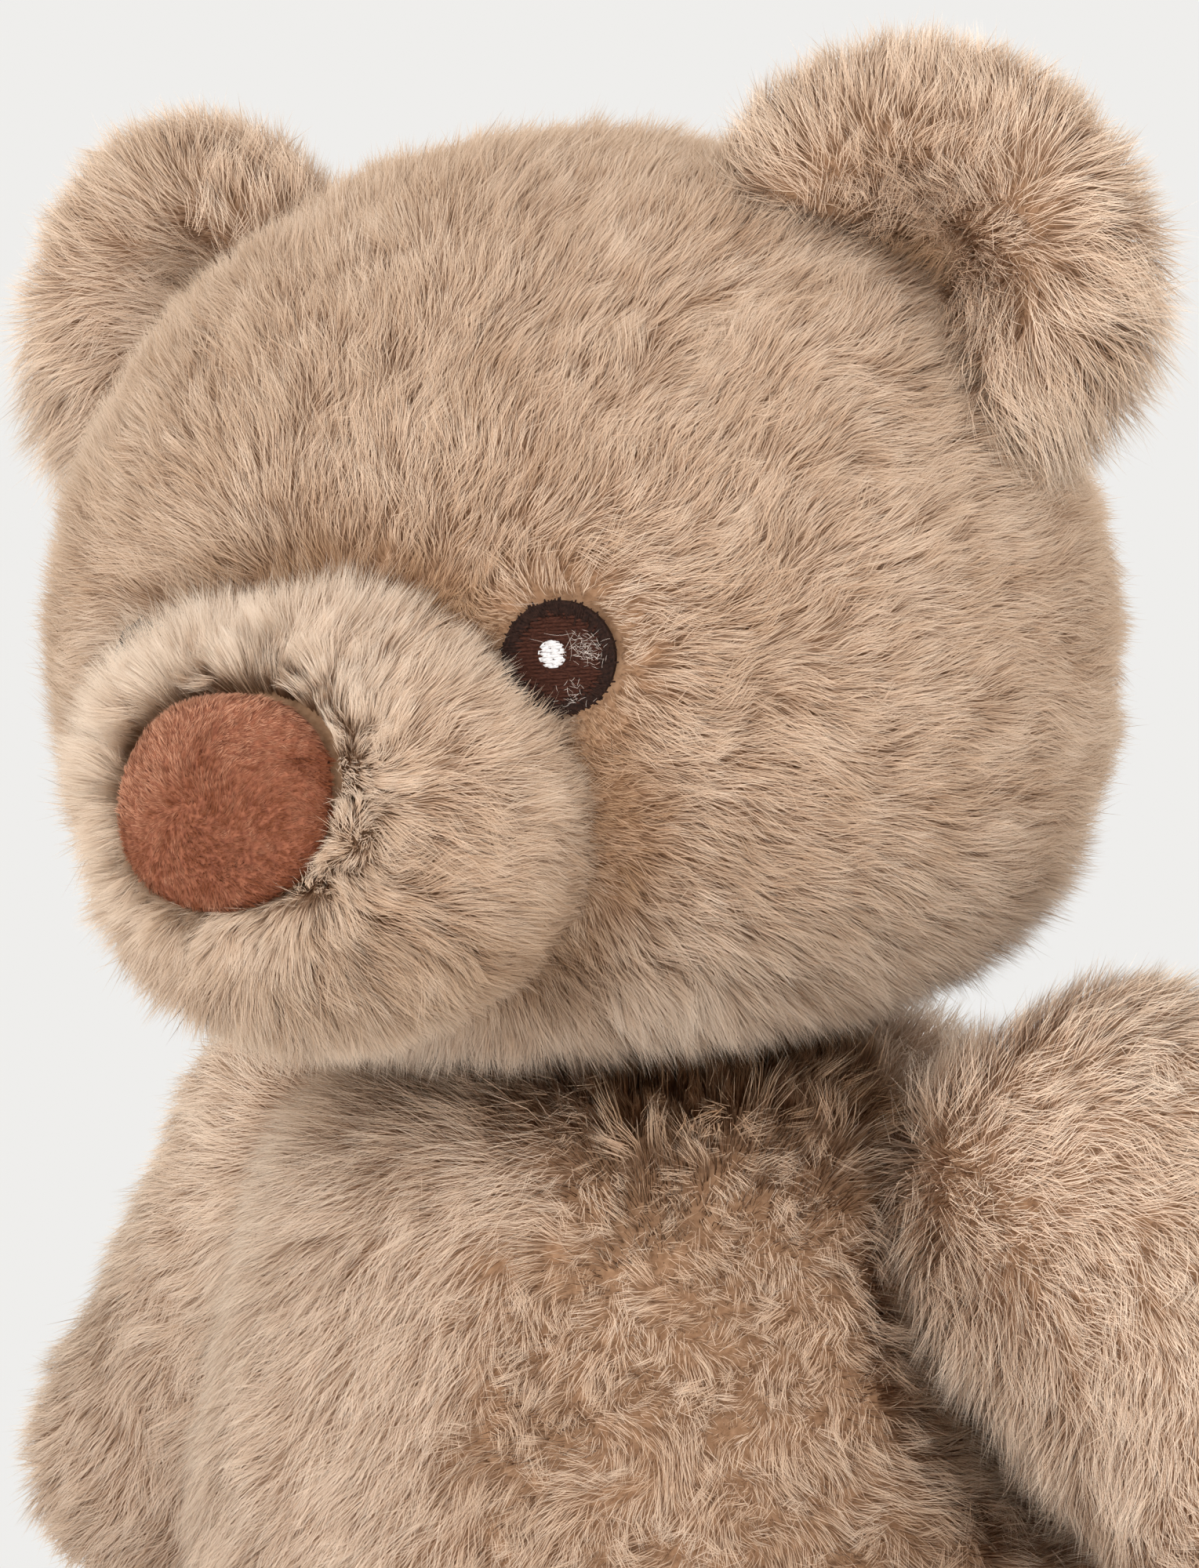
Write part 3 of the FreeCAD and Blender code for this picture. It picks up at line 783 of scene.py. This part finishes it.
def torso_comb(p, n):
    """Down, brushed aside where it is ruffled, and outward on the shoulders."""
    flow = np.array([-0.35, -0.12, -1]) + np.array([0.5, 0, 0.25]) * ruffled(p, n)[:, None]
    side = np.sign(p[:, :1])
    out = side * np.array([0.8, 0, 0]) + np.array([0, -0.35, -0.45])
    share = shoulder_share(p)[:, None]
    return along_surface(flow * (1 - share) + out * share, n)


def torso_top(n):
    """1 where the torso faces up, round the neck."""
    return smoothstep(0.4, 0.9, n[:, 2])


def brushed_up(p, n):
    """1 where the ruffled pile also stands up, away from the shoulders."""
    return ruffled(p, n) * (1 - shoulder_share(p))


def torso_length(p, n):
    return (TORSO_PILE - 1.5 * brushed_up(p, n) + 2.5 * np.maximum(torso_top(n), shoulder_share(p))
            + 3.0 * under_arm(p))


def torso_lift(p, n):
    return TORSO_LIFT + 28 * brushed_up(p, n) + 22 * torso_top(n)


def torso_tone(p, n):
    """Pale on the smooth flank, browner where ruffled. Painted light makes the shoulders, shaded by
    the head, and the side under the arm, where the arm's shadow falls, paler; painted shade browns
    the band by the neck under the chin and the crease along the armhole."""
    share = shoulder_share(p)
    # Painted shade: the pile is browner in the band by the neck, under the chin.
    neck_shade = smoothstep(124, 134, p[:, 2])
    # Painted light: the side under the arm, in the arm's shadow, is made paler.
    body = 0.90 - 0.40 * ruffled(p, n) + 0.4 * under_arm(p) - 0.45 * neck_shade * (1 - share)
    # Painted shade along the armhole crease, where the arm meets the torso.
    armhole_shade = np.exp(-((armhole(p) + 1.5) / 2.2) ** 2) * smoothstep(90, 104, p[:, 2])
    # Painted light: the shoulders, shaded by the head, are made pale.
    return body * (1 - share) + 0.95 * share - 0.3 * armhole_shade


def front_heavy(limit, front, rest):
    """A weight that puts more of the pile in front of a place along Y."""
    return lambda p, n: np.where(p[:, 1] < limit, front, rest)


pile("torso_pile", torso, 195000, 101, torso_comb, "torso", "plush_fur", plush, parts=3,
     keep=torso_keep, weight=front_heavy(5, 1.6, 0.8), length=torso_length, lift=torso_lift,
     tone=torso_tone, width=0.057, level_light=0.5,
     curl=lambda p, n: 0.5 + 1.0 * ruffled(p, n), hold=lambda p, n: 0.6 + 0.6 * ruffled(p, n))

head = head_grid()
skin("head_plush", head, "head", "plush_fur", plush_back, ["head_cover"])
pile("head_pile", head, 300000, 201, head_comb, "head", "plush_fur", plush, parts=5,
     keep=head_keep, weight=front_heavy(15, 1.4, 0.7), length=head_length, lift=head_lift,
     tone=head_tone, width=0.054, curl=0.7)

muzzle = ball_grid(MUZZLE_AT, MUZZLE_HALF - SKIN_INSET)
skin("muzzle_plush", muzzle, "head", "muzzle_plush", plush_back, ["muzzle_cover"])
NOSE_AT = MUZZLE_AT + np.array([0, 0, NOSE_UP])


def nose_share(p):
    """0 at the nose's middle, 1 on its edge, more outside it."""
    x = np.abs(p[:, 0] - NOSE_AT[0]) / NOSE_HALF[0]
    z = np.abs(p[:, 2] - NOSE_AT[2]) / NOSE_HALF[1]
    share = (x**NOSE_POWER + z**NOSE_POWER) ** (1 / NOSE_POWER)
    return np.where(p[:, 1] < MUZZLE_AT[1], share, 9.0)


def muzzle_keep(p, n):
    """False under the nose and where the muzzle lies inside the head."""
    return (nose_share(p) > 0.97) & ((p[:, 1] < -40) | (np.abs(p[:, 0]) > 12))


def on_muzzle(p):
    """Place on the muzzle, where 1 is its half size each way."""
    return (p - MUZZLE_AT) / MUZZLE_HALF


def muzzle_flank(p):
    """How far the pile is brushed up on the muzzle's upper flanks, most on the right."""
    d = on_muzzle(p)
    return smoothstep(0.0, 0.5, d[:, 2]) * (smoothstep(0.1, 0.5, -d[:, 0])
                                            - 0.6 * smoothstep(0.2, 0.6, d[:, 0]))


MUZZLE_CROWN_FRONT = np.array([0, 22, 0])  # how far ahead of NOSE_AT its pile parts


def rim_tilt(p):
    """How far the muzzle's pile leans away from the nose, in degrees. Below 0 it leans in."""
    return 50 * smoothstep(0.97, 1.5, nose_share(p)) - 4


def muzzle_comb(p, n):
    """Out from the nose, but in over its edge beside it."""
    out = along_surface(unit(p - NOSE_AT + MUZZLE_CROWN_FRONT), n)
    return out * np.where(rim_tilt(p) < 0, -1, 1)[:, None]


def muzzle_back(p):
    """1 on the part of the muzzle that turns in to meet the face below and at the sides."""
    d = on_muzzle(p)
    return smoothstep(-0.5, 0.0, d[:, 1]) * (1 - smoothstep(-0.1, 0.5, d[:, 2]))


def muzzle_tone(p, n):
    """Paler above, browner low on the left."""
    d = on_muzzle(p)
    return 0.58 + 0.26 * smoothstep(-0.5, 0.55, d[:, 2]) - 0.24 * smoothstep(0.1, 0.7, d[:, 0])


def muzzle_length(p, n):
    return (MUZZLE_PILE + 3.0 * smoothstep(1.0, 1.7, nose_share(p)) + 3.6 * muzzle_flank(p)
            - 3.4 * muzzle_back(p))


def muzzle_lift(p, n):
    return 90 - np.abs(rim_tilt(p)) + 10 * muzzle_flank(p) - 8 * muzzle_back(p)


pile("muzzle_pile", muzzle, 98000, 301, muzzle_comb, "head", "muzzle_plush", plush, parts=2,
     keep=muzzle_keep, width=0.052, curl=1.0, swirl=(0.25, 0.3, 0.42), tone=muzzle_tone,
     weight=lambda p, n: 1 + 2.0 * (np.abs(nose_share(p) - 1.12) < 0.2),  # thick by the nose
     length=muzzle_length, lift=muzzle_lift)


# --- nose
FOLD_FROM, FOLD_TO, FOLD_UP = 8.0, 12.0, 4.6  # a small tuck at the nose's left edge
FOLD_DEPTH, FOLD_HALF = 2.0, 0.55
NOSE_RIM = [  # share of the nose's half size, drop behind its face
    (0.94, 0.25), (0.975, 0.8), (1.0, 1.8), (0.99, 3.2), (0.8, 4.2), (0.4, 4.6), (0.03, 4.8),
]


def nose_grid():
    """A low pad wrapped over the muzzle, its rim tucked in."""
    across, high = superellipse(96, NOSE_POWER)
    a, b, c = MUZZLE_HALF + NOSE_RISE - 0.6
    rings = []
    for r, drop in [(r, 0.0) for r in np.linspace(0.03, 0.9, 34)] + NOSE_RIM:
        x, z = across * NOSE_HALF[0] * r, high * NOSE_HALF[1] * r
        y = -b * np.sqrt(1 - (x / a) ** 2 - ((z + NOSE_UP) / c) ** 2) + drop
        if drop < 3:
            fold = np.exp(-((z - FOLD_UP) / FOLD_HALF) ** 2) * smoothstep(FOLD_FROM, FOLD_TO, x)
            y = y + fold * FOLD_DEPTH
        rings.append(np.stack([x, y, z + NOSE_UP], 1) + MUZZLE_AT)
    return np.array(rings)


NOSE_POLE = NOSE_AT + np.array([-1.7, -MUZZLE_HALF[1] - 1, -0.3])  # the nap runs out from here


def fold_near(p):
    """1 in the nose's tuck, 0 away from it."""
    off = p[:, 2] - NOSE_AT[2] - FOLD_UP
    return np.exp(-(off / 0.9) ** 2) * smoothstep(FOLD_FROM, FOLD_TO, p[:, 0])


NAP_STREAKS = Field(16, 1.0)


def nose_tone(p, n):
    """Paler at the upper rim, dark at the middle, painted shade in the tuck, streaked outward."""
    high = smoothstep(-3, 12, p[:, 2] - NOSE_AT[2] - 0.5 * p[:, 0])
    away = (p - NOSE_POLE)[:, [0, 2]]
    reach = np.linalg.norm(away, axis=1)
    around = np.arctan2(away[:, 1], away[:, 0]) + 0.10 * np.sin(reach * 1.5)
    streak = NAP_STREAKS.at(np.stack([around * 9, reach * 0.35, 0 * reach], 1))[:, 0]
    pole = np.exp(-(reach / 4.5) ** 2)
    # Painted shade darkens the nap in the tuck.
    return 0.08 + 0.72 * high - 0.20 * pole - 0.4 * fold_near(p) + 0.20 * streak


nose = nose_grid()
skin("nose_plush", nose, "head", "nose_minky", nose_back, ["nose_patch"])
pile("nose_nap", nose, 34000, 341, away_from(NOSE_POLE), "head", "nose_minky", nose_nap,
     keep=lambda p, n: n[:, 1] < 0.25, length=1.4, lift=28, width=0.042, tone=nose_tone,
     swirl=(0.35, 0.6, 0.2), tufts=((0.7, 0.7), (1.3, 0.4)), curl=0.5, spread=0.3)


def loose_fibres(name, centre, right, up, outward, rows, body, slot, mat, seed):
    """Single long fibres lying over a piece. rows are count, spread, length, place, width."""
    rng = np.random.default_rng(seed)
    points, tones, widths = [], [], []
    for count, spread, length, (u, v), width in rows:
        for _ in range(count):
            a, b = rng.normal(size=2) * spread
            turn = rng.uniform(0, 2 * math.pi)
            size = length * rng.uniform(0.6, 1.3)
            bend = rng.normal() * 0.25
            line = []
            for k in np.linspace(-0.5, 0.5, 6):
                x = math.cos(turn) * k - math.sin(turn) * bend * (k * k - 0.25)
                y = math.sin(turn) * k + math.cos(turn) * bend * (k * k - 0.25)
                line.append(centre + right * (u + a + x * size) + up * (v + b + y * size)
                            + outward * (0.15 + 0.5 * (0.25 - k * k) * rng.uniform(0.5, 1)))
            points.append(line)
            tones.append(rng.uniform(0.2, 0.9))
            widths.append(width)
    points = np.array(points)
    normals = np.repeat(outward[None], len(points), 0)
    sides = unit(np.cross(np.gradient(points, axis=1), normals[:, None]))
    wide = np.array(widths)[:, None] * np.array([[0.6, 1, 1, 1, 0.8, 0]])
    return strand_mesh(name, points, sides, normals, wide, np.array(tones), body, slot, mat)


# --- stitched eyes
EYE_SINK = 0.45
OUTLINE_STITCHES, OUTLINE_DEPTH, OUTLINE_SLANT = 210, 1.9, 0.10
IRIS_RADIUS, IRIS_PITCH, IRIS_REACH = EYE_RADIUS - 0.7, 0.46, 2.6
GLINT_AT, GLINT_HALF, GLINT_PITCH, GLINT_REACH = (-0.8, 0.5), (1.5, 1.75), 0.34, 2.4
WORN_AT = 3.7


def stitch_rows(rng, half, pitch, reach, centre=(0, 0)):
    """Starts and ends of the stitches that fill an ellipse in rows, each about reach long."""
    starts, ends = [], []
    for number, y in enumerate(np.arange(-half[1] + pitch / 2, half[1], pitch)):
        limit = half[0] * math.sqrt(1 - (y / half[1]) ** 2)
        x = -limit + rng.uniform(-0.2, 0.2) - reach * 0.5 * (number % 2)
        while x < limit:
            size = reach * rng.uniform(0.75, 1.25)
            low, high = max(x, -limit), min(x + size, limit + 0.2)
            wave = rng.normal(size=2) * 0.05
            if high - low > 0.5:
                starts.append((centre[0] + low, centre[1] + y + wave[0]))
                ends.append((centre[0] + high, centre[1] + y + wave[1]))
            x += size * 0.93
    return np.array(starts), np.array(ends)


def outline_slants(rng):
    """Starts and ends of the slanted stitches round an eye."""
    count = OUTLINE_STITCHES
    angle = np.linspace(0, 2 * math.pi, count, endpoint=False)
    out = EYE_RADIUS + 0.1 + rng.normal(size=count) * 0.22
    low = EYE_RADIUS - OUTLINE_DEPTH + rng.normal(size=count) * 0.4
    starts = np.stack([np.cos(angle) * low, np.sin(angle) * low], 1)
    turned = angle + OUTLINE_SLANT
    return starts, np.stack([np.cos(turned) * out, np.sin(turned) * out], 1)


def eye(side, word):
    middle, right, up, outward = eye_frame(side)
    rng = np.random.default_rng(360 + side)
    cloth = middle - outward * EYE_SINK
    raised = cloth + outward * 0.30

    def sew(part, lines, radius, height, slot, mat, base=cloth):
        at = [base + np.outer(ends[:, 0], right) + np.outer(ends[:, 1], up) for ends in lines]
        normals = np.repeat(outward[None], len(at[0]), 0)
        stitches(f"eye_{word}_{part}_stitches", *at, normals, radius, height, "head", slot, mat)

    iris = stitch_rows(rng, (IRIS_RADIUS, IRIS_RADIUS), IRIS_PITCH, IRIS_REACH)
    sew("iris", iris, 0.19, 0.34, "thread_brown", iris_thread)
    sew("outline", outline_slants(rng), 0.17, 0.42, "thread_black", outline_thread)
    glint = stitch_rows(rng, GLINT_HALF, GLINT_PITCH, GLINT_REACH, GLINT_AT)
    sew("glint", glint, 0.20, 0.22, "thread_white", glint_thread, raised)
    worn = side * WORN_AT
    rubbed = [(90, 1.1, 1.0, (worn, 0.8), 0.011), (30, 1.0, 0.9, (worn * 0.4, -4.6), 0.011),
              (6, 2.6, 4.5, (0, 2), 0.010)]
    loose_fibres(f"eye_{word}_worn_fibres", raised, right, up, outward, rubbed, "head",
                 "plush_fur", worn_fibre, 370 + side)


for side, word in ((1, "left"), (-1, "right")):
    eye(side, word)


# --- limbs and ears
SOLE_RIM = [  # share of the sole's half size, rise in front of the foot
    (0.95, 1.2), (0.985, 0.7), (1.0, -0.2), (0.97, -1.5), (0.5, -2.0), (0.03, -2.0),
]


def sole_grid():
    """A flat foot sole with a soft rim."""
    ahead, across = leg_frame()
    reach, height = LEG_SECTIONS[-1][:2]
    middle = np.array([LEG_AXIS_X, 0, height]) + ahead * reach
    c, s = superellipse(72, 2.0)
    rings = []
    for r, rise in [(r, SOLE_RISE + (1 - r * r)) for r in np.linspace(0.03, 0.9, 22)] + SOLE_RIM:
        rings.append(middle + ahead * (rise - 1.0) + np.outer(c * SOLE_HALF[0] * r, across)
                     + np.outer(s * SOLE_HALF[1] * r, UP))
    return np.array(rings)


def sided(side):
    """Factor that moves a place on the bear's left to the given side."""
    return np.array([side, 1, 1])


def ear_low(p, side):
    """1 on the outer lower lobe of an ear, whose pile hangs down over the head."""
    d = p - EAR_AT * sided(side)
    return smoothstep(-2, 18, 0.5 * d[:, 0] * side - d[:, 2])


EAR_HOLLOW_SHADE = {1: 0.85, -1: 0.3}  # how far painted shade darkens the hollow at the base of each ear


def ear_pieces(side, word, turn):
    ear = turn(ear_grid())
    base = (EAR_AT + np.array([-5.0, 5.0, -5.0])) * sided(side)

    def comb(p, n):
        hang = ear_low(p, side)[:, None] * np.array([side * 0.15, 0, -1.1])
        return along_surface(unit(p - base) + hang, n)

    def tone(p, n):
        # Painted shade: the pile darkens toward the hollow at the ear's base.
        return 0.68 - EAR_HOLLOW_SHADE[side] * np.exp(-(np.linalg.norm(p - base, axis=1) / 11) ** 2)

    skin(f"ear_{word}_plush", ear, "head", "plush_fur", plush_back,
         [f"ear_{word}_front", f"ear_{word}_back"])
    pile(f"ear_{word}_pile", ear, 34000, 401 + side, comb, "head", "plush_fur", plush,
         length=lambda p, n: EAR_PILE + 4.5 * ear_low(p, side), lift=EAR_LIFT, tone=tone,
         width=0.056, curl=0.8)


ARM_CROWN = SHOULDER + np.array([9.0, -22.0, 12.0])  # where the arm's pile parts


def arm_pieces(side, word, turn):
    arm, body = turn(arm_grid()), f"arm_{word}"
    down, across = arm_frame()

    def comb(p, n):
        """Out over the cap from its inner front corner, then down the arm."""
        way = down * sided(side)
        below = smoothstep(0, 45, (p - SHOULDER * sided(side)) @ way)[:, None]
        out = unit(p - ARM_CROWN * sided(side))
        return along_surface(out * (1 - 0.7 * below) + way * (0.2 + below), n)

    def cap(p):
        """1 on the inner front edge of the cap, whose pile laps over the torso."""
        d = p * sided(side) - arm_middle(0)
        return smoothstep(8, 24, -d @ across - 0.5 * d[:, 1] - 0.4 * (d @ down))

    skin(f"arm_{word}_plush", arm, body, "plush_fur", plush_back, [f"arm_{word}_cover"])
    pile(f"arm_{word}_pile", arm, 64000, 501 + side, comb, body, "plush_fur", plush,
         length=lambda p, n: ARM_PILE + 4.5 * cap(p), lift=lambda p, n: ARM_LIFT + 8 * cap(p),
         keep=lambda p, n: off_joint(p, side, SHOULDER, ARM_DISH), tone=0.88, width=0.062,
         curl=0.8, level_light=0.8)


def leg_pieces(side, word, turn):
    leg, sole, body = turn(leg_grid()), turn(sole_grid()), f"leg_{word}"
    ahead = leg_frame()[0] * sided(side)
    skin(f"leg_{word}_plush", leg, body, "plush_fur", plush_back, [f"leg_{word}_cover"])
    pile(f"leg_{word}_pile", leg, 50000, 601 + side, toward(ahead), body, "plush_fur", plush,
         keep=lambda p, n: off_joint(p, side, HIP, LEG_DISH), length=LEG_PILE, lift=LEG_LIFT,
         tone=0.65, width=0.085, curl=0.7)
    skin(f"leg_{word}_sole_pad", sole, body, "pad_minky", nose_back, [f"leg_{word}_sole"])
    pile(f"leg_{word}_sole_nap", sole, 16000, 641 + side, toward((0, 0, -1)), body, "pad_minky",
         nose_nap, keep=lambda p, n: n @ ahead > -0.3, length=1.9, lift=32, tone=0.42, width=0.07,
         swirl=(0.5, 0.7, 0.25), tufts=((0.9, 0.7), (1.8, 0.35)))


for side, word, turn in ((1, "left", lambda g: g), (-1, "right", mirror_grid)):
    ear_pieces(side, word, turn)
    arm_pieces(side, word, turn)
    leg_pieces(side, word, turn)

# --- stage, light and camera
BACKGROUND = (0.863, 0.855, 0.838)
FLOOR_ALBEDO = 0.47
FLOOR_SIZE, FLOOR_DROP, FLOOR_FADE = 1.2, 0.0002, (0.16, 0.42)  # metres
LIGHT_AIM = Vector((0, 0, 0.15))
LIGHTS = [  # name, place in metres, size, power
    ("key", (0.45, -1.95, 0.75), 1.6, 25),
    ("left_fill", (-1.7, -1.0, 0.9), 1.4, 12),
    ("right_fill", (1.9, 0.1, 0.7), 1.4, 16),
    ("near_fill", (1.4, -1.3, 0.35), 1.2, 7),
    ("right_back", (1.5, 1.2, 1.0), 1.4, 10),
    ("bounce", (0.7, -1.2, -0.3), 1.2, 23),
    ("top", (0.3, 0.1, 1.9), 1.2, 14),
    ("back", (-1.2, 1.6, 0.9), 1.4, 20),
]


def area_light(name, location, size, power):
    data = bpy.data.lights.new(name, "AREA")
    data.shape = "DISK"
    data.size = size
    data.energy = power
    obj = bpy.data.objects.new(name, data)
    bpy.context.scene.collection.objects.link(obj)
    obj.location = location
    obj.rotation_euler = (LIGHT_AIM - Vector(location)).to_track_quat("-Z", "Y").to_euler()


def floor_material():
    """Pale paper that fades out round the bear, so no edge shows against the backdrop."""
    m, tree, paper, node, link = new_material("pale_floor", 1.0, 0.0)
    paper.inputs["Base Color"].default_value = tuple(c * FLOOR_ALBEDO for c in BACKGROUND) + (1,)
    where = node("ShaderNodeTexCoord")
    far = node("ShaderNodeVectorMath")
    far.operation = "LENGTH"
    link(where.outputs["Object"], far.inputs[0])
    fade = node("ShaderNodeMapRange")
    fade.interpolation_type = "SMOOTHSTEP"
    fade.inputs["From Min"].default_value = FLOOR_FADE[0]
    fade.inputs["From Max"].default_value = FLOOR_FADE[1]
    link(far.outputs["Value"], fade.inputs["Value"])
    clear = node("ShaderNodeBsdfTransparent")
    both = node("ShaderNodeMixShader")
    link(fade.outputs["Result"], both.inputs[0])
    link(paper.outputs[0], both.inputs[1])
    link(clear.outputs[0], both.inputs[2])
    link(both.outputs[0], tree.nodes["Material Output"].inputs["Surface"])
    return m


bpy.ops.mesh.primitive_plane_add(size=FLOOR_SIZE, location=(0, 0, -FLOOR_DROP))
floor = bpy.context.object
floor.name = "floor"
floor.data.materials.append(floor_material())

world = bpy.data.worlds.new("studio")
bpy.context.scene.world = world
world.use_nodes = True
world.node_tree.nodes["Background"].inputs["Color"].default_value = (*BACKGROUND, 1)
world.node_tree.nodes["Background"].inputs["Strength"].default_value = 1.0

for light in LIGHTS:
    area_light(*light)

AZIMUTH, ELEVATION, ROLL = math.radians(45), math.radians(4), math.radians(4.3)
DISTANCE, AIM_SIDE, AIM_UP = 0.8, -0.0059, 0.174  # metres
SENSOR, LENS = 36, 135.4
back = Vector((math.sin(AZIMUTH) * math.cos(ELEVATION), -math.cos(AZIMUTH) * math.cos(ELEVATION),
               math.sin(ELEVATION)))
right = Vector((math.cos(AZIMUTH), math.sin(AZIMUTH), 0))
upward = back.cross(right)
aim_at = right * AIM_SIDE + Vector((0, 0, AIM_UP))
rolled_right = right * math.cos(ROLL) - upward * math.sin(ROLL)
rolled_up = upward * math.cos(ROLL) + right * math.sin(ROLL)
camera = bpy.data.objects.new("camera", bpy.data.cameras.new("camera"))
bpy.context.scene.collection.objects.link(camera)
camera.data.sensor_width = SENSOR
camera.data.lens = LENS
camera.location = aim_at + back * DISTANCE
turned = Matrix((rolled_right, rolled_up, back)).transposed()
camera.rotation_euler = turned.to_euler()
bpy.context.scene.camera = camera
bpy.context.scene.view_settings.view_transform = "Standard"
